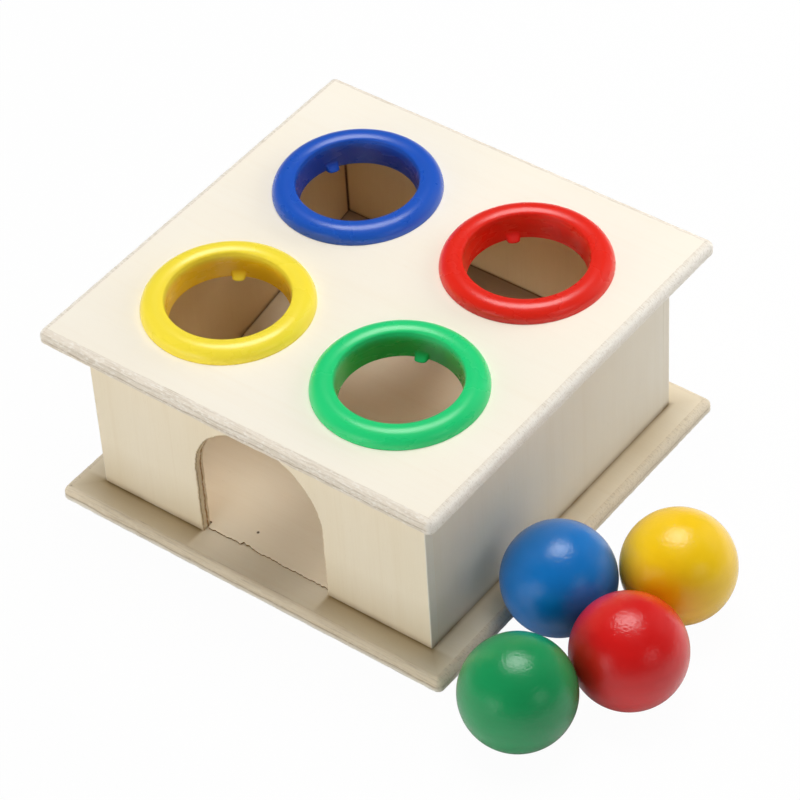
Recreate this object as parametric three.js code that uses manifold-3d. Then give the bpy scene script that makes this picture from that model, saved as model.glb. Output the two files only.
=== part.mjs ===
// Ball pounding bench: a glued plywood box on a base panel, moulded rings pressed into its top,
// a sloping board inside that rolls the balls out of an arch, and loose wooden balls beside it.
// Millimetres, +Z up. The origin is the middle of the base's underside and the arch faces -Y.
import * as THREE from 'three';
import { mergeVertices } from 'three/addons/utils/BufferGeometryUtils.js';
import Module from 'manifold-3d';

const wasm = await Module();
wasm.setup();

// Balls: the size that the rings, the arch and the box follow
const BALL_DIAMETER = 30;
const LOOSE_GAP = 0.2;
const BLUE_BALL_Y = -24;
const RED_BEARING = -20.5;
const YELLOW_BEARING = 42;
const GREEN_BEARING = -119.2;

// Rings
const BALL_CLEARANCE = 1.4;
const BORE_TAPER = 1.2;
const BEAD_WIDTH = 6.3;
const BEAD_HEIGHT = 3.9;
const BEAD_SKIRT = 1;
const SLEEVE_WALL = 2.2;
const SLEEVE_PROUD = 0.3;
const SLEEVE_CHAMFER = 0.6;
const RING_CLEARANCE = 0.3;
const RING_SPACING = 9.1;

// Nubs inside each ring
const NUB_COUNT = 2;
const NUB_WIDTH = 3.2;
const NUB_HEIGHT = 1.7;
const NUB_GRIP = 1.3;
const NUB_ROOT = 0.8;
const NUB_LIFT = 0.2;

// Walls and arch
const RING_TO_WALL = 4.75;
const WALL_THICKNESS = 3;
const ARCH_SIDE_CLEARANCE = 5.2;
const ARCH_HEADROOM = 12.4;
const LINTEL_HEIGHT = 9.6;

// Panels
const TOP_OVERHANG = 8.6;
const TOP_THICKNESS = 4;
const BASE_OVERHANG = 8.6;
const BASE_THICKNESS = 4;
const PANEL_CORNER_RADIUS = 2;
const PANEL_EDGE_ROUND = 1;

// Ramp
const RAMP_THICKNESS = 3;
const RAMP_HEEL_HEIGHT = 21.6;
const RAMP_TOE_EDGE = 0.6;
const RAMP_TOE_SETBACK = 1.4;
const RAMP_CLEARANCE = 0.3;

// Facets: the outline arcs of the bead, the nubs, the arch and the corners get twice their number
const RING_SEGMENTS = 36;
const BEAD_SEGMENTS = 5;
const BALL_SEGMENTS = 24;
const BALL_BANDS = 16;
const ARCH_SEGMENTS = 10;
const CORNER_SEGMENTS = 2;
const EDGE_SEGMENTS = 2;
const NUB_SEGMENTS = 3;
const CUT_MARGIN = 1;

// Sizes that follow from the ones above
const ballRadius = BALL_DIAMETER / 2;
const boreBottomRadius = (BALL_DIAMETER + BALL_CLEARANCE) / 2;
const boreTopRadius = boreBottomRadius + BORE_TAPER / 2;
const beadOuterRadius = boreTopRadius + BEAD_WIDTH;
const sleeveOuterRadius = boreTopRadius + SLEEVE_WALL;
const holeRadius = sleeveOuterRadius + RING_CLEARANCE;
const ringOffset = beadOuterRadius + RING_SPACING / 2;
const boxInner = 2 * (ringOffset + sleeveOuterRadius + RING_TO_WALL);
const boxOuter = boxInner + 2 * WALL_THICKNESS;
const topSide = boxOuter + 2 * TOP_OVERHANG;
const baseSide = boxOuter + 2 * BASE_OVERHANG;
const archWidth = BALL_DIAMETER + 2 * ARCH_SIDE_CLEARANCE;
const archHeight = BALL_DIAMETER + ARCH_HEADROOM;
const wallHeight = archHeight + LINTEL_HEIGHT;
const topUnderside = BASE_THICKNESS + wallHeight;
const topSurface = topUnderside + TOP_THICKNESS;
const sleeveDepth = TOP_THICKNESS + SLEEVE_PROUD;

// Ring places on the top and the bearing of the nub that faces the back, by colour
const RINGS = [
  { colour: 'yellow', side: [-1, -1], nubBearing: 120 },
  { colour: 'green', side: [1, -1], nubBearing: 107 },
  { colour: 'blue', side: [-1, 1], nubBearing: 154 },
  { colour: 'red', side: [1, 1], nubBearing: 143 },
];

const PLYWOOD = { color: 0xe8dcc4, roughness: 0.8, metalness: 0 };
const RING_COLOURS = { yellow: 0xf8d93a, green: 0x22b866, blue: 0x2350b8, red: 0xdd2b20 };
const BALL_COLOURS = { yellow: 0xe8c018, green: 0x1e8c50, blue: 0x1c66b4, red: 0xcc2022 };
const RING_FINISH = { roughness: 0.35, metalness: 0 };
const BALL_FINISH = { roughness: 0.5, metalness: 0 };

const radians = THREE.MathUtils.degToRad;

// A closed geometry as a solid that can be joined and cut
function toSolid(geometry) {
  const bare = geometry.clone();
  bare.deleteAttribute('normal');
  bare.deleteAttribute('uv');
  const merged = mergeVertices(bare);
  return new wasm.Manifold(new wasm.Mesh({
    numProp: 3,
    vertProperties: new Float32Array(merged.attributes.position.array),
    triVerts: new Uint32Array(merged.index.array),
  }));
}

function toGeometry(solid) {
  const mesh = solid.getMesh();
  const geometry = new THREE.BufferGeometry();
  geometry.setAttribute('position', new THREE.BufferAttribute(mesh.vertProperties, 3));
  geometry.setIndex(new THREE.BufferAttribute(mesh.triVerts, 1));
  geometry.computeVertexNormals();
  return geometry;
}

function part(name, geometry, look) {
  const mesh = new THREE.Mesh(geometry, new THREE.MeshStandardMaterial(look));
  mesh.name = name;
  return mesh;
}

// A square outline with rounded corners, centred on the origin
function squareOutline(side, cornerRadius) {
  const reach = side / 2 - cornerRadius;
  const outline = new THREE.Shape();
  for (let corner = 0; corner < 4; corner += 1) {
    const start = (corner * Math.PI) / 2;
    const middle = start + Math.PI / 4;
    const x = reach * Math.sign(Math.cos(middle));
    const y = reach * Math.sign(Math.sin(middle));
    outline.absarc(x, y, cornerRadius, start, start + Math.PI / 2, false);
  }
  outline.closePath();
  return outline;
}

// A plywood board with its edges rounded over, standing on z = 0
function boardGeometry(side, thickness) {
  const geometry = new THREE.ExtrudeGeometry(squareOutline(side, PANEL_CORNER_RADIUS), {
    depth: thickness - 2 * PANEL_EDGE_ROUND,
    curveSegments: CORNER_SEGMENTS,
    bevelThickness: PANEL_EDGE_ROUND,
    bevelSize: PANEL_EDGE_ROUND,
    bevelOffset: -PANEL_EDGE_ROUND,
    bevelSegments: EDGE_SEGMENTS,
  });
  return geometry.translate(0, 0, PANEL_EDGE_ROUND);
}

function ringPlace([sideX, sideY]) {
  return new THREE.Vector3(sideX * ringOffset, sideY * ringOffset, 0);
}

function makeBase() {
  return part('base_panel', boardGeometry(baseSide, BASE_THICKNESS), PLYWOOD);
}

// The top board, drilled through for each ring's sleeve
function makeTop() {
  let board = toSolid(boardGeometry(topSide, TOP_THICKNESS));
  const drillLength = TOP_THICKNESS + 2 * CUT_MARGIN;
  const drill = new THREE.CylinderGeometry(holeRadius, holeRadius, drillLength, RING_SEGMENTS);
  drill.rotateX(Math.PI / 2).translate(0, 0, TOP_THICKNESS / 2);
  for (const ring of RINGS) {
    const place = ringPlace(ring.side);
    board = board.subtract(toSolid(drill.clone().translate(place.x, place.y, 0)));
  }
  const top = part('top_panel', toGeometry(board), PLYWOOD);
  top.position.z = topUnderside;
  return top;
}

// The front wall's outline runs round the arch, which is open at the base
function makeFrontWall() {
  const halfWall = boxOuter / 2;
  const halfArch = archWidth / 2;
  const spring = archHeight - halfArch;
  const outline = new THREE.Shape();
  outline.moveTo(-halfWall, 0);
  outline.lineTo(-halfArch, 0);
  outline.lineTo(-halfArch, spring);
  outline.absarc(0, spring, halfArch, Math.PI, 0, true);
  outline.lineTo(halfArch, 0);
  outline.lineTo(halfWall, 0);
  outline.lineTo(halfWall, wallHeight);
  outline.lineTo(-halfWall, wallHeight);
  outline.closePath();
  const geometry = new THREE.ExtrudeGeometry(outline, {
    depth: WALL_THICKNESS,
    curveSegments: ARCH_SEGMENTS,
    bevelEnabled: false,
  });
  const wall = part('front_wall', geometry.rotateX(Math.PI / 2), PLYWOOD);
  wall.position.set(0, -boxInner / 2, BASE_THICKNESS);
  return wall;
}

function makeBackWall() {
  const wall = part('back_wall', new THREE.BoxGeometry(boxOuter, WALL_THICKNESS, wallHeight), PLYWOOD);
  wall.position.set(0, (boxInner + WALL_THICKNESS) / 2, BASE_THICKNESS + wallHeight / 2);
  return wall;
}

// The side walls stand between the front and back walls
function makeSideWall(name, side) {
  const wall = part(name, new THREE.BoxGeometry(WALL_THICKNESS, boxInner, wallHeight), PLYWOOD);
  wall.position.set(side * (boxInner + WALL_THICKNESS) / 2, 0, BASE_THICKNESS + wallHeight / 2);
  return wall;
}

// The ramp's side view: its heel stands against the back wall and its underside is planed flat
// where it lies on the base, so that it runs out to a thin toe inside the arch
function rampSideView(toeY, heelY) {
  const rise = RAMP_HEEL_HEIGHT - RAMP_TOE_EDGE;
  const run = heelY - toeY;
  const dropAtHeel = RAMP_THICKNESS * Math.hypot(rise, run) / run;
  const heelUnder = RAMP_HEEL_HEIGHT - dropAtHeel;
  const flatEndY = heelY - heelUnder * run / rise;
  const outline = new THREE.Shape();
  outline.moveTo(toeY, 0);
  outline.lineTo(flatEndY, 0);
  outline.lineTo(heelY, heelUnder);
  outline.lineTo(heelY, RAMP_HEEL_HEIGHT);
  outline.lineTo(toeY, RAMP_TOE_EDGE);
  outline.closePath();
  return outline;
}

// The ramp's plan: as wide as the box inside, with a tongue that passes through the arch
function rampPlan(toeY, heelY) {
  const half = boxInner / 2 - RAMP_CLEARANCE;
  const shoulderY = -boxInner / 2 + RAMP_CLEARANCE;
  const tongue = archWidth / 2 - RAMP_CLEARANCE;
  const outline = new THREE.Shape();
  outline.moveTo(-tongue, toeY - CUT_MARGIN);
  outline.lineTo(tongue, toeY - CUT_MARGIN);
  outline.lineTo(tongue, shoulderY);
  outline.lineTo(half, shoulderY);
  outline.lineTo(half, heelY + CUT_MARGIN);
  outline.lineTo(-half, heelY + CUT_MARGIN);
  outline.lineTo(-half, shoulderY);
  outline.lineTo(-tongue, shoulderY);
  outline.closePath();
  return outline;
}

function makeRamp() {
  const toeY = -boxOuter / 2 + RAMP_TOE_SETBACK;
  const heelY = boxInner / 2 - RAMP_CLEARANCE;
  const side = new THREE.ExtrudeGeometry(rampSideView(toeY, heelY), { depth: boxInner, bevelEnabled: false });
  side.rotateX(Math.PI / 2).rotateZ(Math.PI / 2).translate(-boxInner / 2, 0, 0);
  const planHeight = RAMP_HEEL_HEIGHT + 2 * CUT_MARGIN;
  const plan = new THREE.ExtrudeGeometry(rampPlan(toeY, heelY), { depth: planHeight, bevelEnabled: false });
  plan.translate(0, 0, -CUT_MARGIN);
  const ramp = part('ramp_board', toGeometry(toSolid(side).intersect(toSolid(plan))), PLYWOOD);
  ramp.position.z = BASE_THICKNESS;
  return ramp;
}

// A ring's section, from the foot of the bore over the bead to the foot of the sleeve.
// Its height is measured from the panel's top surface.
function ringSection() {
  const beadMiddle = boreTopRadius + BEAD_WIDTH / 2;
  const section = new THREE.Path();
  section.moveTo(boreBottomRadius, -sleeveDepth);
  section.lineTo(sleeveOuterRadius - SLEEVE_CHAMFER, -sleeveDepth);
  section.lineTo(sleeveOuterRadius, -sleeveDepth + SLEEVE_CHAMFER);
  section.lineTo(sleeveOuterRadius, 0);
  section.lineTo(beadOuterRadius, 0);
  section.lineTo(beadOuterRadius, BEAD_SKIRT);
  section.absellipse(beadMiddle, BEAD_SKIRT, BEAD_WIDTH / 2, BEAD_HEIGHT - BEAD_SKIRT, 0, Math.PI, false, 0);
  section.lineTo(boreBottomRadius, -sleeveDepth);
  return section;
}

// A half-round tab that reaches in from the sleeve wall, under the ball's widest part
function nubGeometry() {
  const tipRadius = ballRadius - NUB_GRIP;
  const roundRadius = NUB_WIDTH / 2;
  const rootRadius = boreBottomRadius + NUB_ROOT;
  const outline = new THREE.Shape();
  outline.moveTo(rootRadius, -roundRadius);
  outline.lineTo(rootRadius, roundRadius);
  outline.lineTo(tipRadius + roundRadius, roundRadius);
  outline.absarc(tipRadius + roundRadius, 0, roundRadius, Math.PI / 2, 1.5 * Math.PI, false);
  outline.closePath();
  const geometry = new THREE.ExtrudeGeometry(outline, {
    depth: NUB_HEIGHT,
    curveSegments: NUB_SEGMENTS,
    bevelEnabled: false,
  });
  return geometry.translate(0, 0, NUB_LIFT - sleeveDepth);
}

function makeRing({ colour, side, nubBearing }) {
  const turned = new THREE.LatheGeometry(ringSection().getPoints(BEAD_SEGMENTS), RING_SEGMENTS);
  let ring = toSolid(turned.rotateX(Math.PI / 2));
  for (let nub = 0; nub < NUB_COUNT; nub += 1) {
    const bearing = radians(nubBearing) + (nub * 2 * Math.PI) / NUB_COUNT;
    ring = ring.add(toSolid(nubGeometry().rotateZ(bearing)));
  }
  const mesh = part(`ring_${colour}`, toGeometry(ring), { color: RING_COLOURS[colour], ...RING_FINISH });
  mesh.position.copy(ringPlace(side)).setZ(topSurface);
  return mesh;
}

function makeBall(colour, place) {
  const geometry = new THREE.SphereGeometry(ballRadius, BALL_SEGMENTS, BALL_BANDS).rotateX(Math.PI / 2);
  const ball = part(`ball_${colour}`, geometry, { color: BALL_COLOURS[colour], ...BALL_FINISH });
  ball.position.set(place.x, place.y, ballRadius);
  return ball;
}

// The balls lie in a cluster: the blue one against the base's rounded edge, the others next to one another
function makeBalls() {
  const edgeRise = ballRadius - BASE_THICKNESS + PANEL_EDGE_ROUND;
  const reachAtEdge = Math.sqrt((ballRadius + PANEL_EDGE_ROUND) ** 2 - edgeRise ** 2) - PANEL_EDGE_ROUND;
  const beside = (place, bearing) => {
    const step = new THREE.Vector2(BALL_DIAMETER + LOOSE_GAP, 0);
    return step.rotateAround(new THREE.Vector2(), radians(bearing)).add(place);
  };
  const blue = new THREE.Vector2(baseSide / 2 + reachAtEdge + LOOSE_GAP, BLUE_BALL_Y);
  const red = beside(blue, RED_BEARING);
  const yellow = beside(blue, YELLOW_BEARING);
  const green = beside(red, GREEN_BEARING);
  return Object.entries({ blue, red, yellow, green }).map(([colour, place]) => makeBall(colour, place));
}

const group = new THREE.Group();
group.add(makeBase());
group.add(makeFrontWall());
group.add(makeBackWall());
group.add(makeSideWall('left_wall', -1));
group.add(makeSideWall('right_wall', 1));
group.add(makeRamp());
group.add(makeTop());
group.add(...RINGS.map(makeRing));
group.add(...makeBalls());

export default group;
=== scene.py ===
# Ball pounding bench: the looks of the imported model.
# Lengths on the part are written in millimetres and turned into metres where a point is placed.
import math

import bmesh
import bpy
from mathutils import Matrix, Vector, noise


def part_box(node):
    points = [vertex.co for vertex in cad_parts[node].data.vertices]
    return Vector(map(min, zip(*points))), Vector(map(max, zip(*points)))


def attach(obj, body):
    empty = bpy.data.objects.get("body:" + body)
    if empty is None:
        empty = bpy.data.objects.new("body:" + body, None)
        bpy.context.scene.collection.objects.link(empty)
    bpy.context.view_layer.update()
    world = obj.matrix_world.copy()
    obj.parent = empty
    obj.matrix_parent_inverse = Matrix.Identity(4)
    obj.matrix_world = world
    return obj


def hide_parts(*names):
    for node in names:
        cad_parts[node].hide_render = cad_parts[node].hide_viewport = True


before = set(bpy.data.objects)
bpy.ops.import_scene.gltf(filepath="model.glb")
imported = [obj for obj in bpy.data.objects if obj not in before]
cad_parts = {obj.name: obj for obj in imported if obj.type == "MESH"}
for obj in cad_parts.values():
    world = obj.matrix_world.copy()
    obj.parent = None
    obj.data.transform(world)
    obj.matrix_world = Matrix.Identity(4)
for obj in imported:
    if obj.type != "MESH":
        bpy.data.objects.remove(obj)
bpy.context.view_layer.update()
MM = 0.001

# Camera, fitted to the corners, rings and balls in an image of 800 by 800
IMAGE_SIZE = 800
SENSOR_WIDTH = 36.0
FOCAL_PIXELS = 3587.5927
CAMERA_AZIMUTH = 39.3333
CAMERA_ELEVATION = 43.5436
CAMERA_ROLL = -3.791
CAMERA_PLACE = (435.197, -525.4379, 667.5276)
CLIP_START = 10.0

# Plywood boards
PANEL_CORNER_RADIUS = 2.0
PANEL_EDGE_ROUND = 2.1
PANEL_FOOT_ROUND = 0.6
PANEL_SPACING = 0.6
WALL_ARRIS = 0.3
JOINT_ARRIS = 0.04
WALL_SPACING = 1.6
CORNER_STEPS = 6
ROUND_STEPS = 6
WALL_ARRIS_STEPS = 3
HOLE_ARRIS_STEPS = 1
EDGE_ROW = 0.45
GLUE_LINES = (0.27, 0.68)
GLUE_GROOVE = 0.03
GLUE_WIDTH = 0.12
PLY_WANDER = 0.08
GRAIN_SHIFT = 170.0
# Seeds of each board's grain and wear
SEEDS = {"base_panel": 1, "top_panel": 2, "front_wall": 3, "back_wall": 4, "left_wall": 5, "right_wall": 6}

# Sanded edges
SANDING_WAVE = 0.1
SANDING_PITCH = 0.06
FUZZ = 0.16
FUZZ_MEAN = 0.4
FUZZ_SWING = 0.9
# Ends on the two end-grain sides turn paler, for fraying and as painted light on the lit right edge
FRAYED_AND_LIT_FROM = 60.0
FRAYED_AND_LIT_TO = 61.4
# Noise of the fibres: pitch along the edge, pitch through its depth, and layer
END_FIBRE = (1.1, 1.5, 0.3)
LONG_FIBRE = (0.35, 2.6, 0.7)

# Painted shade on the boards' faces: a contact shadow along the walls' joints with the base, and shade near
# the walls, up their feet, in the box's corners and towards the ramp's back
WALL_FACE = 53.4
WALL_FOOT = 4.0
JOINT_SHADOW_WIDTH = 1.6
SHADE_SOFT = 1.0
BASE_SHADE_WIDTH = 8.0
BASE_SHADE_SIDE = 0.32
BASE_SHADE_FRONT = 0.72
FOOT_SHADOW_WIDTH = 3.0
FOOT_SHADE_WIDTH = 16.0
FRONT_FOOT_SHADE = 0.26
SIDE_FOOT_SHADE = 0.07
CORNER_FROM = 49.4
CORNER_TO = 50.2
RAMP_SHADE_FROM = 16.0
RAMP_SHADE_MOST = 0.75

# Arch in the front wall
ARCH_HALF = 20.2
ARCH_HEIGHT = 42.4
ARCH_STEPS = 72
ARCH_MARGIN = 1.0
SAWN_FOOT = 0.5
SAWN_MARGIN = 0.1
SAW_RIPPLE = 0.42
SAW_SLOW_PITCH = 0.35
SAW_SLOW_LAYER = 3.0
SAW_QUICK_PITCH = 1.7
SAW_DEPTH_PITCH = 0.4

# Ramp board
RAMP_THICKNESS = 3.0
RAMP_CLEARANCE = 0.3
RAMP_TOE_EDGE = 0.4
RAMP_SPACING = 1.5
RAMP_TOE_SPACING = 0.4
RAMP_TOE_JAG = 0.45
RAMP_SPLINTER = 0.75
SPLINTER_FROM = -9.0
SPLINTER_TO = -2.5
RAMP_UNDERCUT = 0.05
RAMP_GRAIN_SHIFT = 900.0
RAMP_KNOTS = [(RAMP_GRAIN_SHIFT - 7.2, RAMP_GRAIN_SHIFT - 46.9, 0.5)]
KNOT_CORE = 0.4
# Noise along the toe: its mean, then the pitch, layer and strength of each noise
TOE_MEAN = 0.4
TOE_NOISES = ((0.16, 1.7, 0.5), (1.1, 5.3, 0.7))

# Rings
BORE_BOTTOM_RADIUS = 15.7
BORE_TOP_RADIUS = 16.3
SLEEVE_RADIUS = 18.5
SLEEVE_CHAMFER = 0.6
HOLE_RADIUS = 18.8
BEAD_CURVE = 3.95
SHOULDER_FOOT = 2.5
SHOULDER_WIDTH = 0.5
SHOULDER_STEPS = 8
BEAD_STEPS = 40
RING_STEPS = 84
HOLE_STEPS = 96
BORE_STEPS = 8
MOULD_LINE = 0.06
MOULD_STEP = 0.08
# Depth over which the bore's painted light and shade fades out below the shoulder
BORE_FADE = 2.2
GLOW_REACH = 1.0
NUB_HALF = 1.85
NUB_TIP_RADIUS = 13.7
NUB_REACH = BORE_BOTTOM_RADIUS - NUB_TIP_RADIUS
NUB_TOP = -2.4
NUB_SOFT = 2.2
NUB_CAP = 0.1
NUB_FLANK = 0.25
NUB_WINDOW = 1.25
NUB_STEPS = 22
NUB_ROWS = 14
NUB_ROWS_ABOVE = 0.6
NUB_BEARINGS = {"yellow": 120, "green": 107, "blue": 154, "red": 139}

# Balls
BALL_CUTS = 39
BALL_LUMPS = 0.02
BALL_LUMP_PITCH = 4.0

# Stage, in metres
FLOOR_HALF = 4.0
FLOOR_DROP = 0.00005
FLOOR_MATT = (0.82, 0.82, 0.82, 1)
FLOOR_SEEN_WHITE = 0.97
FLOOR_GLOSS_WHITE = 0.05
WHITE = (1, 1, 1, 1)
WORLD_HORIZON = 0.3
WORLD_CEILING = 0.1
WORLD_BLEND = 0.3
LAMP_AIM = (0.02, 0.0, 0.03)
# Azimuth from the front towards the right, elevation, distance, width, height, watts, seen in gloss
LAMPS = {
    "key_overhead": (-150, 77, 1.0, 0.75, 0.6, 6.88, True),
    "fill_front": (-20, 7, 1.2, 1.5, 0.2, 6.05, False),
    "fill_left": (-8, 14, 1.2, 0.6, 0.4, 0.7, True),
    "fill_right": (82, 24, 1.2, 0.5, 0.3, 0.5, True),
    "side_high": (78, 68, 1.2, 0.8, 0.5, 1.6, False),
    "fill_far_left": (-75, 20, 1.2, 0.6, 0.4, 0.6, False),
    "card_back": (150, 22, 0.45, 0.4, 0.26, 0.76, False),
}

# Materials of a board: outer face, edge, inner face, and an end that passes for the next wall's face
FACE, EDGE, INNER, END = 0, 1, 2, 3
COLOURS = ("yellow", "green", "blue", "red")


def srgb(red, green, blue):
    """Linear colour of a screen colour given as 0 to 255."""
    def linear(value):
        share = value / 255
        return share / 12.92 if share <= 0.04045 else ((share + 0.055) / 1.055) ** 2.4
    return (linear(red), linear(green), linear(blue), 1.0)


# Shader nodes

# Sockets of a Mix node that mixes colours
MIX_FACTOR, MIX_FIRST, MIX_SECOND = 0, 6, 7
MIX_RESULT = 2


def feed(tree, socket, value):
    """Gives a socket a value, or a link when the value is a socket."""
    if isinstance(value, bpy.types.NodeSocket):
        tree.links.new(value, socket)
    else:
        socket.default_value = value


def node(tree, kind, inputs=None, **settings):
    """A new node. An input takes a value or the socket that feeds it."""
    made = tree.nodes.new(kind)
    for key, value in settings.items():
        setattr(made, key, value)
    for key, value in (inputs or {}).items():
        feed(tree, made.inputs[key], value)
    return made


def object_coords(tree):
    """Place of a point on the part, in metres."""
    return node(tree, "ShaderNodeTexCoord").outputs["Object"]


def grain_coords(tree):
    """Millimetres along and across a board's grain, and the share of its depth."""
    return node(tree, "ShaderNodeAttribute", attribute_name="grain").outputs["Vector"]


def split(tree, vector):
    """The three numbers of a vector."""
    return node(tree, "ShaderNodeSeparateXYZ", {0: vector}).outputs


def combined(tree, first, second, how):
    """One value from two, such as their ADD or MAXIMUM."""
    return node(tree, "ShaderNodeMath", {0: first, 1: second}, operation=how).outputs[0]


def times(tree, first, second):
    """Product of two values."""
    return combined(tree, first, second, "MULTIPLY")


def size_of(tree, value):
    """A value without its sign."""
    return node(tree, "ShaderNodeMath", {0: value}, operation="ABSOLUTE").outputs[0]


def vector_math(tree, how, *vectors):
    """A node that works on one or two vectors."""
    return node(tree, "ShaderNodeVectorMath", dict(enumerate(vectors)), operation=how)


def ranged(tree, value, low, high, to_low=0.0, to_high=1.0):
    """A value moved from one range to another and clamped there."""
    steps = {"Value": value, "From Min": low, "From Max": high, "To Min": to_low, "To Max": to_high}
    return node(tree, "ShaderNodeMapRange", steps).outputs[0]


def mixed(tree, factor, first, second):
    """Colour between two colours."""
    inputs = {MIX_FACTOR: factor, MIX_FIRST: first, MIX_SECOND: second}
    return node(tree, "ShaderNodeMix", inputs, data_type="RGBA").outputs[MIX_RESULT]


def tinted(tree, colour, tint, pattern, low, high, most=1.0):
    """Colour that takes on a tint as a pattern goes from low to high."""
    return mixed(tree, ranged(tree, pattern, low, high, 0.0, most), colour, tint)


def stretched_noise(tree, coords, scale, detail=2.0, roughness=0.5, distortion=0.0):
    """Noise whose features are drawn out along one or two axes."""
    mapping = node(tree, "ShaderNodeMapping", {"Vector": coords, "Scale": scale})
    inputs = {"Vector": mapping.outputs[0], "Scale": 1.0, "Detail": detail, "Roughness": roughness,
              "Distortion": distortion}
    return node(tree, "ShaderNodeTexNoise", inputs).outputs[0]


def bumped(tree, height, distance, strength):
    """Normal from a height."""
    inputs = {"Height": height, "Distance": distance * MM, "Strength": strength}
    return node(tree, "ShaderNodeBump", inputs).outputs[0]


def emptied(data):
    """The node tree of a material or world, without its nodes."""
    data.use_nodes = True
    data.node_tree.nodes.clear()
    return data.node_tree


def new_material(name):
    """A node material with nothing but a Principled shader."""
    material = bpy.data.materials.new(name)
    tree = emptied(material)
    shader = node(tree, "ShaderNodeBsdfPrincipled")
    node(tree, "ShaderNodeOutputMaterial", {"Surface": shader.outputs[0]})
    return material, tree, shader


def set_shader(tree, shader, **inputs):
    """Shader inputs by name, with _ for a space, from values or sockets."""
    for key, value in inputs.items():
        feed(tree, shader.inputs[key.replace("_", " ")], value)


# Plywood faces

# Veneers: ground, warm patches, streaks and pores; each board's set is tuned to how that board shows under
# the lamps, so the sets differ by painted light and shade
# The top's veneer is paler: painted light
TOP_LIT_VENEER = (srgb(251, 244, 229), srgb(250, 241, 223), srgb(246, 234, 213), srgb(236, 221, 194))
FRONT_VENEER = (srgb(242, 230, 205), srgb(238, 224, 195), srgb(230, 213, 181), srgb(208, 187, 153))
SIDE_VENEER = (srgb(242, 236, 222), srgb(238, 230, 213), srgb(231, 220, 199), srgb(210, 194, 166))
BASE_VENEER = (srgb(248, 238, 216), srgb(244, 231, 205), srgb(236, 220, 189), srgb(214, 194, 158))
RAMP_VENEER = (srgb(252, 240, 216), srgb(248, 233, 205), srgb(240, 222, 190), srgb(214, 190, 150))
# The inside's veneer is warmer and darker: painted shade
INNER_SHADED_VENEER = (srgb(242, 216, 174), srgb(237, 208, 162), srgb(226, 194, 146), srgb(200, 164, 116))
# The toe's face: dark brown as a painted shadow in the gap under the ramp's toe
TOE_PAINTED_SHADOW = (srgb(128, 98, 58), srgb(136, 106, 64), srgb(112, 84, 48), srgb(92, 66, 36))
KNOT_DARK = srgb(88, 66, 40)
# Painted contact shadow along the walls' joints with the base, patchy like wiped glue
JOINT_PAINTED_SHADOW = srgb(140, 114, 74)
# Tint of the painted shade on the base near the walls and up the walls' feet
PAINTED_SHADE_TINT = srgb(172, 144, 88)
# Painted shade in the box's inside corners
CORNER_PAINTED_SHADE = srgb(96, 62, 32)
# Painted shade towards the ramp's back, inside the box
RAMP_PAINTED_SHADE = srgb(118, 80, 42)


def knotted(tree, coords, colour, knots):
    """Colour with small round dark knots at places in the grain."""
    for along, across, radius in knots:
        offset = vector_math(tree, "SUBTRACT", coords, (along, across, 0)).outputs["Vector"]
        flat = vector_math(tree, "MULTIPLY", offset, (1, 1, 0)).outputs["Vector"]
        away = vector_math(tree, "LENGTH", flat).outputs["Value"]
        colour = tinted(tree, colour, KNOT_DARK, away, radius, KNOT_CORE * radius)
    return colour


def joint_shadow_share(tree, place, near):
    """Share of painted contact shadow beside a joint, made patchy like unevenly wiped glue."""
    patchy = stretched_noise(tree, place, (160, 160, 160), detail=2)
    return times(tree, times(tree, near, near), ranged(tree, patchy, 0.3, 0.7, 0.5, 0.85))


def base_painted_shade(tree, colour):
    """The base round the box: painted shade near the walls and a painted contact shadow at their foot, but
    none in the arch.
    """
    place = object_coords(tree)
    x, y, _ = split(tree, place)
    across = size_of(tree, x)
    away = combined(tree, across, size_of(tree, y), "MAXIMUM")
    beside = ranged(tree, across, ARCH_HALF * MM, (ARCH_HALF + SHADE_SOFT) * MM)
    behind = ranged(tree, y, -CORNER_FROM * MM, (SHADE_SOFT - CORNER_FROM) * MM)
    walled = combined(tree, beside, behind, "MAXIMUM")
    most = ranged(tree, y, (SHADE_SOFT - WALL_FACE) * MM, -WALL_FACE * MM,
                  BASE_SHADE_SIDE, BASE_SHADE_FRONT)
    shade = times(tree, ranged(tree, away, (WALL_FACE + BASE_SHADE_WIDTH) * MM, WALL_FACE * MM), most)
    near = ranged(tree, away, (WALL_FACE + JOINT_SHADOW_WIDTH) * MM, WALL_FACE * MM)
    colour = mixed(tree, times(tree, shade, walled), colour, PAINTED_SHADE_TINT)
    return mixed(tree, times(tree, joint_shadow_share(tree, place, near), walled), colour, JOINT_PAINTED_SHADOW)


def foot_painted_shade(tree, colour, most):
    """The outside of a wall: painted shade and a painted contact shadow towards its foot."""
    place = object_coords(tree)
    height = split(tree, place)[2]
    near = ranged(tree, height, (WALL_FOOT + FOOT_SHADOW_WIDTH) * MM, WALL_FOOT * MM)
    shade_top = (WALL_FOOT + FOOT_SHADE_WIDTH) * MM
    colour = tinted(tree, colour, PAINTED_SHADE_TINT, height, shade_top, WALL_FOOT * MM, most)
    return mixed(tree, joint_shadow_share(tree, place, near), colour, JOINT_PAINTED_SHADOW)


def front_painted_shade(tree, colour):
    """The outside of the front and back walls."""
    return foot_painted_shade(tree, colour, FRONT_FOOT_SHADE)


def side_painted_shade(tree, colour):
    """The outside of the left and right walls."""
    return foot_painted_shade(tree, colour, SIDE_FOOT_SHADE)


def corner_shaded(tree, colour, depth):
    """Colour with painted shade where the depth reaches a corner of the box."""
    deep = ranged(tree, depth, CORNER_FROM * MM, CORNER_TO * MM)
    return mixed(tree, times(tree, deep, deep), colour, CORNER_PAINTED_SHADE)


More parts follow.
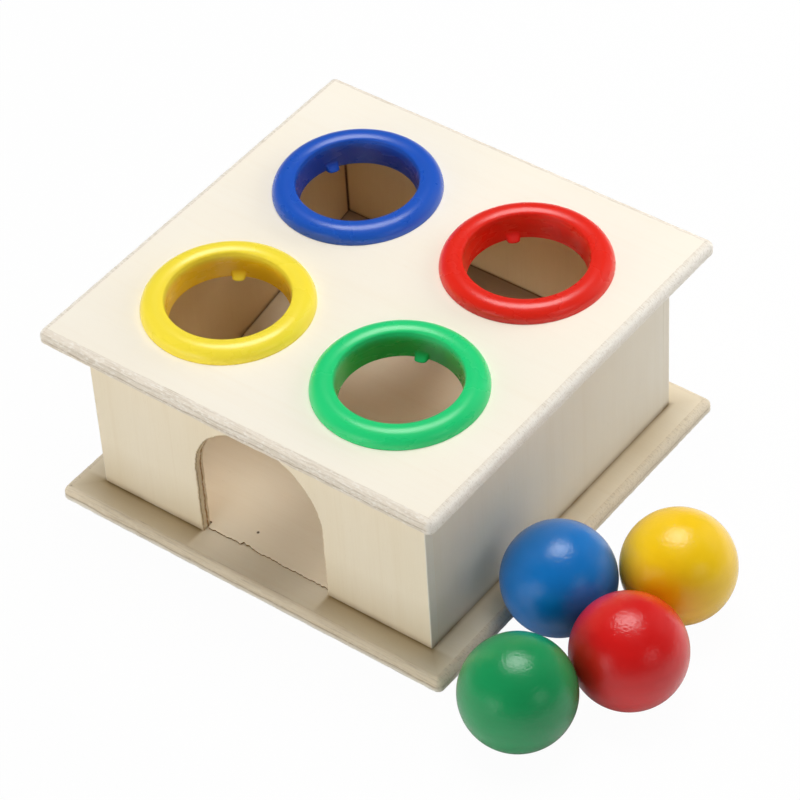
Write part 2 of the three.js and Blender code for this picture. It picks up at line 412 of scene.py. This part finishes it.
def inner_painted_shade(tree, colour):
    """The inside of the box: painted shade where two walls meet."""
    x, y, _ = split(tree, object_coords(tree))
    return corner_shaded(tree, colour, combined(tree, size_of(tree, x), size_of(tree, y), "MINIMUM"))


def ramp_painted_shade(tree, colour):
    """The ramp: painted shade, browner towards the back and dark where it meets the walls."""
    x, y, _ = split(tree, object_coords(tree))
    colour = tinted(tree, colour, RAMP_PAINTED_SHADE, y, RAMP_SHADE_FROM * MM, CORNER_TO * MM, RAMP_SHADE_MOST)
    return corner_shaded(tree, colour, combined(tree, size_of(tree, x), y, "MAXIMUM"))


def face_material(name, veneer, knots=(), painted_shade=None, gloss=0.25):
    """Sanded face veneer: broad tone, soft streaks, fine fibres and short pores, with knots and painted
    shade where given.
    """
    material, tree, shader = new_material(name)
    ground, warm, streaked, pored = veneer
    coords = grain_coords(tree)
    broad = stretched_noise(tree, coords, (0.012, 0.03, 0.0), detail=3)
    streak = stretched_noise(tree, coords, (0.01, 0.42, 0.0), detail=4, roughness=0.6, distortion=0.3)
    fibre = stretched_noise(tree, coords, (0.09, 4.2, 0.0), detail=3, roughness=0.65)
    pore = stretched_noise(tree, coords, (0.3, 3.1, 0.0), detail=1)
    colour = tinted(tree, ground, warm, broad, 0.35, 0.7)
    colour = tinted(tree, colour, streaked, streak, 0.5, 0.85, 0.35)
    colour = tinted(tree, colour, streaked, fibre, 0.45, 0.85, 0.25)
    colour = tinted(tree, colour, pored, pore, 0.72, 0.84, 0.35)
    colour = knotted(tree, coords, colour, knots)
    if painted_shade:
        colour = painted_shade(tree, colour)
    set_shader(tree, shader, Base_Color=colour, Roughness=ranged(tree, fibre, 0.2, 0.8, 0.52, 0.7),
               Specular_IOR_Level=gloss, Normal=bumped(tree, fibre, 0.05, 0.2))
    return material


# Plywood edges

# Colours of the plies through the depth of an edge
TOP_EDGE = (
    (0.00, srgb(238, 228, 212)), (0.20, srgb(234, 223, 206)), (0.26, srgb(214, 202, 183)),
    (0.32, srgb(236, 226, 209)), (0.58, srgb(230, 218, 200)), (0.66, srgb(184, 168, 144)),
    (0.73, srgb(226, 214, 195)), (1.00, srgb(236, 225, 207)),
)
# The base's edge turns paler towards its foot: painted light from the bright floor
BASE_EDGE = (
    (0.00, srgb(236, 222, 196)), (0.24, srgb(230, 215, 188)), (0.44, srgb(224, 209, 182)),
    (0.53, srgb(180, 162, 134)), (0.61, srgb(222, 211, 191)), (0.76, srgb(238, 231, 217)),
    (1.00, srgb(247, 243, 235)),
)
ARCH_EDGE = (
    (0.00, srgb(222, 203, 166)), (0.12, srgb(182, 154, 112)), (0.22, srgb(247, 231, 200)),
    (0.54, srgb(247, 231, 200)), (0.62, srgb(186, 144, 96)), (0.74, srgb(192, 152, 106)),
    (0.82, srgb(248, 233, 204)), (1.00, srgb(244, 228, 198)),
)
EDGE_SHADE = srgb(172, 154, 127)
TOP_FLECK = srgb(253, 248, 238)
BASE_FLECK = srgb(240, 230, 211)


def ply_ramp(tree, level, stops):
    """Colour by depth through the stops."""
    ramp = node(tree, "ShaderNodeValToRGB", {0: level})
    elements = ramp.color_ramp.elements
    for place, colour in stops[1:-1]:
        elements.new(place).color = colour
    elements[0].color = stops[0][1]
    elements[-1].color = stops[-1][1]
    return ramp.outputs[0]


def edge_material(name, stops, pale, flecks, frayed_and_lit=0.0):
    """Sawn and sanded edge: pale plies, uneven glue lines, long fibres, and ends on two sides paler, for
    fraying and as painted light.
    """
    material, tree, shader = new_material(name)
    coords = grain_coords(tree)
    depth = split(tree, coords)[2]
    side = size_of(tree, split(tree, object_coords(tree))[0])
    fibre = stretched_noise(tree, coords, (0.12, 2.6, 9.0), detail=4, roughness=0.65)
    fleck = stretched_noise(tree, coords, (0.7, 1.9, 8.0), detail=3, roughness=0.6)
    wander = stretched_noise(tree, coords, (0.16, 0.16, 1.0), detail=3)
    shift = ranged(tree, wander, 0.2, 0.8, -PLY_WANDER, PLY_WANDER)
    colour = ply_ramp(tree, combined(tree, depth, shift, "ADD"), stops)
    colour = tinted(tree, colour, pale, side, FRAYED_AND_LIT_FROM * MM, FRAYED_AND_LIT_TO * MM, frayed_and_lit)
    colour = tinted(tree, colour, EDGE_SHADE, fibre, 0.48, 0.75, 0.55)
    colour = tinted(tree, colour, pale, fleck, 0.5, 0.68, flecks)
    height = mixed(tree, 0.5, fibre, fleck)
    set_shader(tree, shader, Base_Color=colour, Roughness=0.75, Specular_IOR_Level=0.2,
               Normal=bumped(tree, height, 0.12, 0.5))
    return material


# Plastic and paint

# Colour, shade, the tone painted in the bore as its light and shade, and the share of light under the skin
RING_PAINT = {
    "yellow": (srgb(255, 232, 64), srgb(255, 228, 56), srgb(255, 204, 20), 0.03),
    "green": (srgb(34, 215, 126), srgb(28, 207, 118), srgb(9, 184, 77), 0.1),
    "blue": (srgb(26, 87, 194), srgb(21, 81, 186), srgb(12, 66, 174), 0.1),
    "red": (srgb(233, 36, 18), srgb(227, 31, 15), srgb(252, 18, 5), 0.15),
}
# Colour and the shade along the grain
BALL_PAINT = {
    "yellow": (srgb(252, 206, 4), srgb(246, 198, 2)),
    "green": (srgb(16, 148, 84), srgb(13, 138, 76)),
    "blue": (srgb(3, 116, 196), srgb(2, 106, 184)),
    "red": (srgb(218, 18, 16), srgb(208, 15, 13)),
}


def plastic_material(name, colour, shade, deep, glow):
    """Moulded plastic: soft gloss, light under the skin, faint flow marks, and painted light and shade in
    the bore: an amber glow in the yellow, deeper colour in the others.
    """
    material, tree, shader = new_material(name)
    coords = object_coords(tree)
    flow = stretched_noise(tree, coords, (90, 90, 260), detail=3)
    skin = stretched_noise(tree, coords, (700, 700, 700), detail=3)
    bore = node(tree, "ShaderNodeAttribute", attribute_name="bore").outputs["Fac"]
    tone = tinted(tree, colour, shade, flow, 0.3, 0.75, 0.3)
    # Painted light and shade in the bore
    tone = mixed(tree, bore, tone, deep)
    set_shader(tree, shader, Base_Color=tone, Roughness=ranged(tree, flow, 0.3, 0.7, 0.24, 0.33),
               Subsurface_Weight=glow, Subsurface_Radius=(1.0, 0.8, 0.4), Subsurface_Scale=GLOW_REACH * MM,
               Specular_IOR_Level=0.6, Normal=bumped(tree, skin, 0.02, 0.07))
    return material


def paint_material(name, colour, shade):
    """Painted turned wood: a trace of grain in the colour under a thin coat of gloss with orange peel."""
    material, tree, shader = new_material(name)
    coords = object_coords(tree)
    grain = stretched_noise(tree, coords, (60, 60, 420), detail=4, roughness=0.6)
    peel = stretched_noise(tree, coords, (1500, 1500, 1500), detail=2)
    tone = tinted(tree, colour, shade, grain, 0.35, 0.75, 0.6)
    set_shader(tree, shader, Base_Color=tone, Roughness=0.42, Specular_IOR_Level=0.15, Coat_Weight=0.9,
               Coat_Roughness=0.17, Coat_Normal=bumped(tree, peel, 0.18, 0.75))
    return material


# Meshes

def placed(name, data):
    """A new object in the scene."""
    made = bpy.data.objects.new(name, data)
    bpy.context.scene.collection.objects.link(made)
    return made


def mesh_object(name, bm, materials):
    """A finished mesh as an object in the scene."""
    mesh = bpy.data.meshes.new(name)
    bm.to_mesh(mesh)
    bm.free()
    for material in materials:
        mesh.materials.append(material)
    return placed(name, mesh)


def piece(name, bm, node_name, body, materials):
    """A finished mesh as a piece that stands for a CAD node."""
    made = mesh_object(name, bm, materials)
    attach(made, body)
    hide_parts(node_name)


def box_mm(node_name):
    """Lowest and highest corner of a CAD node in millimetres."""
    low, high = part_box(node_name)
    return low / MM, high / MM


def smooth(low, high, value):
    """Soft step from 0 at the low value to 1 at the high one."""
    share = min(1.0, max(0.0, (value - low) / (high - low)))
    return share * share * (3 - 2 * share)


def stations(stops, spacing):
    """Values from the first stop to the last, through each stop, no further apart than the spacing."""
    made = [stops[0]]
    for start, end in zip(stops, stops[1:]):
        count = max(1, math.ceil((end - start) / spacing))
        made += [start + (end - start) * (step + 1) / count for step in range(count)]
    return made


# Outlines

def densified(loop, spacing):
    """A closed loop with points added so that no side is longer than the spacing."""
    made = []
    for start, end in zip(loop, loop[1:] + loop[:1]):
        count = max(1, math.ceil((end - start).length / spacing))
        made += [start.lerp(end, step / count) for step in range(count)]
    return made


def rounded_square(half, radius):
    """Square outline, counter-clockwise, with arcs at its corners."""
    reach = half - radius
    loop = []
    for quarter in range(4):
        turn = Matrix.Rotation(quarter * math.pi / 2, 2)
        for step in range(CORNER_STEPS + 1):
            angle = step * math.pi / 2 / CORNER_STEPS
            loop.append(turn @ Vector((reach + radius * math.cos(angle), reach + radius * math.sin(angle))))
    return densified(loop, PANEL_SPACING)


def circle_hole(centre, radius):
    """Hole outline, clockwise."""
    turns = [-2 * math.pi * step / HOLE_STEPS for step in range(HOLE_STEPS)]
    return [Vector((centre.x + radius * math.cos(t), centre.y + radius * math.sin(t))) for t in turns]


def plain_outline(half_width, height):
    """Wall outline, counter-clockwise."""
    corners = ((-half_width, 0), (half_width, 0), (half_width, height), (-half_width, height))
    return densified([Vector(corner) for corner in corners], WALL_SPACING)


def arched_outline(half_width, height):
    """Wall outline that runs round the arch, counter-clockwise."""
    spring = ARCH_HEIGHT - ARCH_HALF
    loop = [Vector((-half_width, 0)), Vector((-ARCH_HALF, 0))]
    for step in range(ARCH_STEPS + 1):
        turn = math.pi * (1 - step / ARCH_STEPS)
        loop.append(Vector((ARCH_HALF * math.cos(turn), spring + ARCH_HALF * math.sin(turn))))
    loop += [Vector((ARCH_HALF, 0)), Vector((half_width, 0))]
    loop += [Vector((half_width, height)), Vector((-half_width, height))]
    return densified(loop, WALL_SPACING / 2)


def mitres(loop):
    """Outward offset directions at the points of a loop."""
    made = []
    count = len(loop)
    for index, point in enumerate(loop):
        before = (point - loop[index - 1]).normalized()
        after = (loop[(index + 1) % count] - point).normalized()
        first = Vector((before.y, -before.x))
        second = Vector((after.y, -after.x))
        made.append((first + second) / (1 + first.dot(second)))
    return made


# Board edges

def arris_rows(rounding, steps):
    """Inset and depth round an arris, from the face to the edge."""
    turns = [math.pi / 2 * (1 - step / steps) for step in range(steps + 1)]
    return [(rounding * (1 - math.cos(turn)), rounding * (1 - math.sin(turn))) for turn in turns]


def edge_rows(thickness, rounding, steps, back_rounding):
    """Inset and depth of the points round a board's edge, with a groove at each glue line."""
    rows = arris_rows(rounding, steps)
    for line in GLUE_LINES:
        middle = line * thickness
        for inset, shift in ((0.0, -GLUE_WIDTH), (GLUE_GROOVE, 0.0), (0.0, GLUE_WIDTH)):
            if rounding < middle + shift < thickness - back_rounding:
                rows.append((inset, middle + shift))
    rows += [(0.0, depth) for depth in stations([rounding, thickness - back_rounding], EDGE_ROW)[1:-1]]
    rows.sort(key=lambda row: row[1])
    back_rows = reversed(arris_rows(back_rounding, steps))
    return rows + [(inset, thickness - depth) for inset, depth in back_rows]


def unworn(spot, depth):
    """An edge that is not worn back anywhere."""
    return 0.0


def fuzz(point, depth, seed):
    """How far an edge is sanded back: long waves, long fibres on two sides and short ones on end grain."""
    wave = noise.noise(Vector((point.x * SANDING_PITCH, point.y * SANDING_PITCH, seed)))
    on_end = abs(point.x) > abs(point.y)
    along = point.y if on_end else point.x
    pitch, depth_pitch, layer = END_FIBRE if on_end else LONG_FIBRE
    fibre = noise.noise(Vector((along * pitch, depth * depth_pitch, seed + layer)))
    return SANDING_WAVE * (0.5 + 0.5 * wave) + FUZZ * max(0.0, FUZZ_MEAN + FUZZ_SWING * fibre)


def sawn_arch(spot, depth):
    """The saw's ripple, only round the arch."""
    beside = abs(spot.x) < ARCH_HALF + SAWN_MARGIN
    if not (beside and SAWN_FOOT < spot.y < ARCH_HEIGHT + SAWN_MARGIN):
        return 0.0
    slow = noise.noise(Vector((spot.x * SAW_SLOW_PITCH, spot.y * SAW_SLOW_PITCH, SAW_SLOW_LAYER)))
    quick = noise.noise(Vector((spot.x * SAW_QUICK_PITCH, spot.y * SAW_QUICK_PITCH,
                                depth * SAW_DEPTH_PITCH)))
    return SAW_RIPPLE * max(0.0, 0.5 + 0.5 * slow + 0.5 * quick)


def plies(spot):
    """A panel shows its plies all round."""
    return EDGE


def wall_end(spot):
    """An upright board shows its plies in the arch, while its ends pass for the next wall's face."""
    return EDGE if abs(spot.x) < ARCH_HALF + ARCH_MARGIN else END


# Boards

class Board:
    """A plywood board, built from outlines in its plane and rows through its depth."""

    def __init__(self, thickness, place, upright, seed):
        self.bm = bmesh.new()
        self.grain = self.bm.verts.layers.float_vector.new("grain")
        self.thickness = thickness
        self.place = place
        self.upright = upright
        self.seed = seed
        self.fronts = []
        self.backs = []

    def point(self, spot, depth):
        """A vertex with its place in the grain."""
        vert = self.bm.verts.new(self.place(spot.x, spot.y, depth) * MM)
        along, across = (spot.y, spot.x) if self.upright else (spot.x, spot.y)
        shift = GRAIN_SHIFT * self.seed
        vert[self.grain] = (along + shift, across + shift, depth / self.thickness)
        return vert

    def rim(self, loop, rows, worn, skin=plies):
        """Points round a loop, row by row, joined into the board's edge."""
        outward = mitres(loop)
        grid = []
        rim = []
        for inset, depth in rows:
            line = []
            for spot, out in zip(loop, outward):
                line.append(self.point(spot - out * (inset + worn(spot, depth)), depth))
            grid.append(line)
        for upper, lower in zip(grid, grid[1:]):
            for index in range(len(loop)):
                after = (index + 1) % len(loop)
                face = self.bm.faces.new((upper[index], lower[index], lower[after], upper[after]))
                face.material_index = skin(loop[index])
                face.smooth = True
                rim.append(face)
        self.turn_out(rim, self.place(*outward[0], 0.0) - self.place(0.0, 0.0, 0.0))
        self.fronts.append(grid[0])
        self.backs.append(grid[-1])

    @staticmethod
    def turn_out(faces, outward):
        """Turns faces wound alike so that the first one looks outward."""
        faces[0].normal_update()
        if faces[0].normal.dot(outward) < 0:
            for face in faces:
                face.normal_flip()

    def close(self):
        """The two faces, filled between the rims."""
        outside = self.place(0.0, 0.0, 0.0) - self.place(0.0, 0.0, 1.0)
        for lines, skin, facing in ((self.fronts, FACE, outside), (self.backs, INNER, -outside)):
            edges = []
            for line in lines:
                edges += [self.bm.edges.get(pair) for pair in zip(line, line[1:] + line[:1])]
            filled = bmesh.ops.triangle_fill(self.bm, use_beauty=True, edges=edges)
            for item in filled["geom"]:
                if isinstance(item, bmesh.types.BMFace):
                    item.material_index = skin
                    item.smooth = False
                    self.turn_out([item], facing)
        return self.bm


def panel(name, node_name, materials, holes=()):
    """A square panel with rounded edges, drilled where holes are given."""
    low, high = box_mm(node_name)
    thickness = high.z - low.z
    seed = SEEDS[node_name]

    def place(across, along, depth):
        return Vector((across, along, high.z - depth))

    board = Board(thickness, place, upright=False, seed=seed)
    outline = rounded_square((high.x - low.x) / 2, PANEL_CORNER_RADIUS)
    rows = edge_rows(thickness, PANEL_EDGE_ROUND, ROUND_STEPS, PANEL_FOOT_ROUND)
    board.rim(outline, rows, lambda spot, depth: fuzz(spot, depth, seed))
    hole_rows = edge_rows(thickness, WALL_ARRIS, HOLE_ARRIS_STEPS, WALL_ARRIS)
    for centre in holes:
        board.rim(circle_hole(centre, HOLE_RADIUS), hole_rows, unworn)
    piece(name, board.close(), node_name, "bench", materials)


def wall(name, node_name, loop, place, materials, arris, worn=unworn):
    """An upright board whose outline is given in its own plane."""
    low, high = box_mm(node_name)
    thickness = min(high.x - low.x, high.y - low.y)
    board = Board(thickness, place, upright=True, seed=SEEDS[node_name])
    board.rim(loop, edge_rows(thickness, arris, WALL_ARRIS_STEPS, JOINT_ARRIS), worn, wall_end)
    piece(name, board.close(), node_name, "bench", materials)


def make_walls():
    """The four walls, the front one with its arch."""
    low, high = box_mm("front_wall")
    height = high.z - low.z
    floor = low.z
    outer = high.x
    inner = box_mm("right_wall")[1].y

    def front(across, up, depth):
        return Vector((across, -outer + depth, floor + up))

    def back(across, up, depth):
        return Vector((across, outer - depth, floor + up))

    def left(across, up, depth):
        return Vector((-outer + depth, across, floor + up))

    def right(across, up, depth):
        return Vector((outer - depth, across, floor + up))

    arched = arched_outline(outer, height)
    wide = plain_outline(outer, height)
    narrow = plain_outline(inner, height)
    wall("plywood_front", "front_wall", arched, front, FRONT_WOOD, WALL_ARRIS, sawn_arch)
    wall("plywood_back", "back_wall", wide, back, FRONT_WOOD, WALL_ARRIS)
    wall("plywood_left", "left_wall", narrow, left, SIDE_WOOD, JOINT_ARRIS)
    wall("plywood_right", "right_wall", narrow, right, SIDE_WOOD, JOINT_ARRIS)


def toe_jag(across):
    """How far the splintered toe is broken back."""
    share = TOE_MEAN
    for pitch, layer, strength in TOE_NOISES:
        share += strength * noise.noise(Vector((across * pitch, layer, 0.0)))
    jag = RAMP_TOE_JAG * min(1.0, max(0.0, share))
    if SPLINTER_FROM < across < SPLINTER_TO:
        jag += RAMP_SPLINTER * (SPLINTER_TO - across) / (SPLINTER_TO - SPLINTER_FROM)
    return jag


def make_ramp():
    """The sloping board with its tongue through the arch and a splintered toe."""
    low, high = box_mm("ramp_board")
    shoulder = box_mm("front_wall")[1].y + RAMP_CLEARANCE
    rise = high.z - low.z - RAMP_TOE_EDGE
    run = high.y - low.y
    slope = rise / run
    under_drop = RAMP_THICKNESS * math.hypot(rise, run) / run
    flat_end = low.y + (under_drop - RAMP_TOE_EDGE) / slope
    tongue = ARCH_HALF - RAMP_CLEARANCE
    bm = bmesh.new()
    grain = bm.verts.layers.float_vector.new("grain")
    wide = stations([low.x, -tongue], RAMP_SPACING)
    middle = stations([-tongue, tongue], RAMP_TOE_SPACING)
    columns = wide + middle[1:] + [-x for x in reversed(wide[:-1])]
    lines = stations([low.y, shoulder, flat_end, high.y], RAMP_SPACING)
    verts = {}

    def level(y):
        return low.z + RAMP_TOE_EDGE + slope * (y - low.y)

    def corner(x, row, side):
        key = (x, row, side)
        if key not in verts:
            y = lines[row]
            if row == 0:
                y += toe_jag(x) + (RAMP_UNDERCUT if side else 0.0)
            z = max(low.z, level(y) - under_drop) if side else level(y)
            vert = bm.verts.new(Vector((x, y, z)) * MM)
            vert[grain] = (x + RAMP_GRAIN_SHIFT, y + RAMP_GRAIN_SHIFT, float(side))
            verts[key] = vert
        return verts[key]

    cells = set()
    for row in range(len(lines) - 1):
        for index, (x0, x1) in enumerate(zip(columns, columns[1:])):
            if lines[row] >= shoulder or (x0 >= -tongue and x1 <= tongue):
                cells.add((row, index))
    for row, index in sorted(cells):
        x0, x1 = columns[index], columns[index + 1]
        for side in (0, 1):
            face = bm.faces.new([corner(x0, row, side), corner(x1, row, side),
                                 corner(x1, row + 1, side), corner(x0, row + 1, side)])
            face.material_index = FACE
        sides = {
            (row - 1, index): ((x0, row), (x1, row)),
            (row + 1, index): ((x0, row + 1), (x1, row + 1)),
            (row, index - 1): ((x0, row), (x0, row + 1)),
            (row, index + 1): ((x1, row), (x1, row + 1)),
        }
        for beside, (start, end) in sides.items():
            if beside not in cells:
                face = bm.faces.new([corner(*start, 0), corner(*end, 0),
                                     corner(*end, 1), corner(*start, 1)])
                face.material_index = EDGE
    bmesh.ops.recalc_face_normals(bm, faces=bm.faces)
    piece("plywood_ramp", bm, "ramp_board", "bench", RAMP_WOOD)


# Rings and balls

def ring_section(bead_radius, crest, foot):
    """Radius and height of a ring's section, from the bore's foot over the bead to the sleeve's foot."""
    bore_end = BORE_TOP_RADIUS - MOULD_LINE
    nub_end = NUB_TOP + NUB_ROWS_ABOVE
    heights = [foot + (nub_end - foot) * step / NUB_ROWS for step in range(NUB_ROWS + 1)]
    heights += [nub_end + (SHOULDER_FOOT - nub_end) * step / BORE_STEPS for step in range(1, BORE_STEPS)]
    points = []
    for height in heights:
        share = (height - foot) / (SHOULDER_FOOT - foot)
        points.append((BORE_BOTTOM_RADIUS + (bore_end - BORE_BOTTOM_RADIUS) * share, height))
    points.append((bore_end, SHOULDER_FOOT - MOULD_STEP))
    middle = bead_radius - BEAD_CURVE
    centre = crest - BEAD_CURVE
    inward = middle - BORE_TOP_RADIUS - SHOULDER_WIDTH
    first = math.acos(-inward / BEAD_CURVE)
    last = math.asin(-centre / BEAD_CURVE)
    meet = centre + BEAD_CURVE * math.sin(first)
    bend = meet - SHOULDER_WIDTH / math.tan(math.pi - first)
    for step in range(SHOULDER_STEPS):
        share = step / SHOULDER_STEPS
        rest = 1 - share
        height = rest ** 2 * SHOULDER_FOOT + 2 * share * rest * bend + share ** 2 * meet
        points.append((BORE_TOP_RADIUS + SHOULDER_WIDTH * share ** 2, height))
    for step in range(BEAD_STEPS + 1):
        turn = first + (last - first) * step / BEAD_STEPS
        points.append((middle + BEAD_CURVE * math.cos(turn), centre + BEAD_CURVE * math.sin(turn)))
    points += [(SLEEVE_RADIUS, 0.0), (SLEEVE_RADIUS, foot / 2), (SLEEVE_RADIUS, foot + SLEEVE_CHAMFER),
               (SLEEVE_RADIUS - SLEEVE_CHAMFER, foot)]
    return points


def ring_turns(bearings):
    """Angles round a ring, closer together across its nubs."""
    window = NUB_WINDOW * NUB_HALF / BORE_BOTTOM_RADIUS
    between = math.pi - 2 * window
    turns = []
    for centre in bearings:
        turns += [centre + window * (2 * step / NUB_STEPS - 1) for step in range(NUB_STEPS)]
        turns += [centre + window + between * step / RING_STEPS for step in range(RING_STEPS)]
    return turns


def nub_reach(turn, bearings, height):
    """How far a nub stands in from the bore at an angle and height."""
    reach = 0.0
    for bearing in bearings:
        away = abs(math.remainder(turn - bearing, 2 * math.pi)) * BORE_BOTTOM_RADIUS
        tab = math.sqrt(max(0.0, 1 - (away / NUB_HALF) ** 2))
        reach += NUB_REACH * smooth(0.0, NUB_FLANK, tab) * tab ** 0.5
    return reach * (1 - smooth(NUB_TOP - NUB_SOFT, NUB_TOP + NUB_CAP, height))


def make_ring(colour):
    """A moulded ring, turned from its section, with nubs that grow out of its bore."""
    name = f"ring_{colour}"
    low, high = box_mm(name)
    top = box_mm("top_panel")[1].z
    middle = (low + high) / 2
    bearing = math.radians(NUB_BEARINGS[colour])
    bearings = (bearing, bearing + math.pi)
    turns = ring_turns(bearings)
    bm = bmesh.new()
    bore = bm.verts.layers.float.new("bore")
    grid = []
    for radius, height in ring_section((high.x - low.x) / 2, high.z - top, low.z - top):
        in_bore = radius <= BORE_TOP_RADIUS
        # Share of the bore's painted light and shade: full down in the bore, fading out at the shoulder and
        # on the nubs
        deep = 1 - smooth(SHOULDER_FOOT - BORE_FADE, SHOULDER_FOOT, height) if in_bore else 0.0
        line = []
        for turn in turns:
            reach = nub_reach(turn, bearings, height) if in_bore and height < 0 else 0.0
            inner = radius - reach
            x = middle.x + inner * math.cos(turn)
            y = middle.y + inner * math.sin(turn)
            vert = bm.verts.new(Vector((x, y, top + height)) * MM)
            vert[bore] = deep * (1 - reach / NUB_REACH)
            line.append(vert)
        grid.append(line)
    for lower, upper in zip(grid, grid[1:] + grid[:1]):
        for index in range(len(turns)):
            after = (index + 1) % len(turns)
            face = bm.faces.new((lower[index], lower[after], upper[after], upper[index]))
            face.smooth = True
    bmesh.ops.recalc_face_normals(bm, faces=bm.faces)
    material = plastic_material(f"moulded_{colour}", *RING_PAINT[colour])
    piece(f"moulded_{name}", bm, name, "bench", [material])


def make_ball(colour, seed):
    """A turned ball of even quads, with the slight lumps of brushed paint."""
    name = f"ball_{colour}"
    low, high = box_mm(name)
    middle = (low + high) / 2
    radius = (high.z - low.z) / 2
    bm = bmesh.new()
    bmesh.ops.create_cube(bm, size=2.0)
    bmesh.ops.subdivide_edges(bm, edges=bm.edges, cuts=BALL_CUTS, use_grid_fill=True)
    for vert in bm.verts:
        bent = Vector([math.tan(value * math.pi / 4) for value in vert.co])
        out = bent.normalized()
        lump = 0.5 + 0.5 * noise.noise(out * BALL_LUMP_PITCH + Vector((seed, 0, 0)))
        vert.co = (middle + out * (radius - BALL_LUMPS * lump)) * MM
    for face in bm.faces:
        face.smooth = True
    material = paint_material(f"painted_{colour}", *BALL_PAINT[colour])
    piece(f"painted_{name}", bm, name, f"{colour}_ball", [material])


# Floor, world, lamps and camera

def make_floor():
    """Plain floor: nearly white itself to the camera, a little in gloss, and matt to all other light."""
    material = bpy.data.materials.new("floor_white")
    tree = emptied(material)
    path = node(tree, "ShaderNodeLightPath").outputs
    mirrored = combined(tree, path["Is Glossy Ray"], path["Is Transmission Ray"], "MAXIMUM")
    share = combined(tree, times(tree, path["Is Camera Ray"], FLOOR_SEEN_WHITE),
                     times(tree, mirrored, FLOOR_GLOSS_WHITE), "MAXIMUM")
    matt = node(tree, "ShaderNodeBsdfDiffuse", {"Color": FLOOR_MATT})
    white = node(tree, "ShaderNodeEmission", {"Color": WHITE, "Strength": 1.0})
    both = node(tree, "ShaderNodeMixShader", {0: share, 1: matt.outputs[0], 2: white.outputs[0]})
    node(tree, "ShaderNodeOutputMaterial", {"Surface": both.outputs[0]})
    bm = bmesh.new()
    bmesh.ops.create_grid(bm, x_segments=1, y_segments=1, size=FLOOR_HALF)
    floor = mesh_object("floor", bm, [material])
    floor.location.z = -FLOOR_DROP


def make_world():
    """Dim all round, a little brighter low down, as in a studio with a pale sweep."""
    world = bpy.data.worlds.new("studio")
    tree = emptied(world)
    direction = node(tree, "ShaderNodeTexCoord").outputs["Generated"]
    level = ranged(tree, split(tree, direction)[2], 0.0, WORLD_BLEND, WORLD_HORIZON, WORLD_CEILING)
    sky = node(tree, "ShaderNodeBackground", {"Color": WHITE, "Strength": level})
    node(tree, "ShaderNodeOutputWorld", {"Surface": sky.outputs[0]})
    bpy.context.scene.world = world


def sphere_point(azimuth, elevation, distance):
    """Point at a distance, by degrees from the front towards the right and degrees up."""
    around, up = math.radians(azimuth), math.radians(elevation)
    flat = math.cos(up)
    return distance * Vector((math.sin(around) * flat, -math.cos(around) * flat, math.sin(up)))


def make_lamps():
    """Soft oval lamps round the part, all turned to it."""
    for name, (azimuth, elevation, distance, width, height, watts, in_gloss) in LAMPS.items():
        light = bpy.data.lights.new(name, "AREA")
        light.shape = "ELLIPSE"
        light.size = width
        light.size_y = height
        light.energy = watts
        lamp = placed(name, light)
        away = sphere_point(azimuth, elevation, distance)
        lamp.location = Vector(LAMP_AIM) + away
        lamp.rotation_euler = away.to_track_quat("Z", "Y").to_euler()
        lamp.visible_camera = False
        lamp.visible_glossy = in_gloss


def make_camera():
    """The fitted camera."""
    data = bpy.data.cameras.new("camera")
    data.sensor_width = SENSOR_WIDTH
    data.lens = FOCAL_PIXELS / IMAGE_SIZE * SENSOR_WIDTH
    data.clip_start = CLIP_START * MM
    camera = placed("camera", data)
    back = sphere_point(CAMERA_AZIMUTH, CAMERA_ELEVATION, 1.0)
    around = math.radians(CAMERA_AZIMUTH)
    right = Vector((math.cos(around), math.sin(around), 0.0))
    up = back.cross(right)
    axes = Matrix((right, up, back)).transposed().to_4x4()
    roll = Matrix.Rotation(math.radians(CAMERA_ROLL), 4, "Z")
    camera.matrix_world = Matrix.Translation(Vector(CAMERA_PLACE) * MM) @ axes @ roll
    bpy.context.scene.camera = camera


# Materials of the boards, in the order of FACE, EDGE, INNER and END
TOP_RIM = edge_material("top_edge", TOP_EDGE, TOP_FLECK, flecks=0.65, frayed_and_lit=0.9)
BASE_RIM = edge_material("base_edge", BASE_EDGE, BASE_FLECK, flecks=0.4, frayed_and_lit=0.4)
ARCH_RIM = edge_material("arch_edge", ARCH_EDGE, TOP_FLECK, flecks=0.5)
INNER_SKIN = face_material("inner_shaded_face", INNER_SHADED_VENEER, painted_shade=inner_painted_shade)
SIDE_SKIN = face_material("side_face", SIDE_VENEER, painted_shade=side_painted_shade)
FRONT_SKIN = face_material("front_face", FRONT_VENEER, painted_shade=front_painted_shade)
TOP_WOOD = [face_material("top_lit_face", TOP_LIT_VENEER), TOP_RIM, INNER_SKIN]
BASE_WOOD = [face_material("base_face", BASE_VENEER, painted_shade=base_painted_shade), BASE_RIM, INNER_SKIN]
FRONT_WOOD = [FRONT_SKIN, ARCH_RIM, INNER_SKIN, SIDE_SKIN]
SIDE_WOOD = [SIDE_SKIN, ARCH_RIM, INNER_SKIN, FRONT_SKIN]
# The toe's face carries a painted shadow
TOE_SHADOW_SKIN = face_material("toe_gap_shadow", TOE_PAINTED_SHADOW, gloss=0.0)
RAMP_WOOD = [face_material("ramp_face", RAMP_VENEER, RAMP_KNOTS, painted_shade=ramp_painted_shade), TOE_SHADOW_SKIN]

# The part
ring_centres = [sum(box_mm(f"ring_{colour}"), Vector()) / 2 for colour in COLOURS]
panel("plywood_base", "base_panel", BASE_WOOD)
make_walls()
make_ramp()
panel("plywood_top", "top_panel", TOP_WOOD, ring_centres)
for colour in COLOURS:
    make_ring(colour)
for seed, colour in enumerate(COLOURS):
    make_ball(colour, seed)

# The stage
make_floor()
make_world()
make_lamps()
make_camera()
bpy.context.scene.view_settings.view_transform = "Standard"
